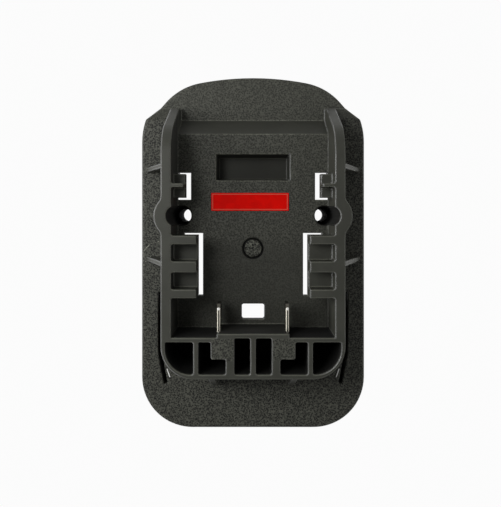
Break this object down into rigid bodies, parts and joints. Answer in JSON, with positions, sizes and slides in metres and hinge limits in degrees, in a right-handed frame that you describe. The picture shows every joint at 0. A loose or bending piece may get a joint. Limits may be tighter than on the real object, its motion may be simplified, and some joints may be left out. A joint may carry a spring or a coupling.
{
  "type": "tool battery adapter",
  "caption": "Battery adapter: slide-in receptacle with hooks and blades on one side, rail foot with a sprung latch for the tool on the other.",
  "frame": {"origin": "midway between the two fixing holes, on the seating plane of the tool side deck", "axes": "+Z towards the battery side, +Y towards the end where the battery slides in, +X to its right"},
  "size_m": [0.0754, 0.1207, 0.04],
  "materials": {
    "black_plastic": "spark-eroded texture outside, smooth inside",
    "grey_plastic": "smooth moulded",
    "button_plastic": "fine texture",
    "red_film": "printed film, bare",
    "nickelled_brass": "plated, satin",
    "red_wire": "smooth insulation",
    "black_wire": "smooth insulation",
    "white_wire": "smooth insulation",
    "green_board": "solder mask",
    "resistor_body": "lacquered",
    "capacitor_can": "satin",
    "screw_steel": "black zinc",
    "spring_steel": "drawn wire"
  },
  "bodies": {
    "housing": {"battery_side_shell": "black_plastic", "tool_side_shell": "black_plastic", "label": "red_film", "positive_blade": "nickelled_brass", "negative_blade": "nickelled_brass", "connector_block": "grey_plastic", "positive_socket": "nickelled_brass", "negative_socket": "nickelled_brass", "signal_socket": "nickelled_brass", "positive_lead": "red_wire", "negative_lead": "black_wire", "signal_lead": "white_wire", "return_lead": "black_wire", "circuit_board": "green_board", "identity_resistor": "resistor_body", "filter_capacitor": "capacitor_can", "housing_screws": "screw_steel", "connector_screws": "screw_steel", "board_screws": "screw_steel"},
    "latch": {"latch_button": "button_plastic", "latch_spring_left": "spring_steel", "latch_spring_right": "spring_steel"}
  },
  "joints": [
    {"name": "latch_slide", "type": "slide", "parent": "housing", "child": "latch", "axis": [0, 0, 1], "range_m": [0, 0.0035], "stiffness_N_per_m": 600, "springref_m": -0.004, "deforming": ["latch_spring_left", "latch_spring_right"]}
  ]
}
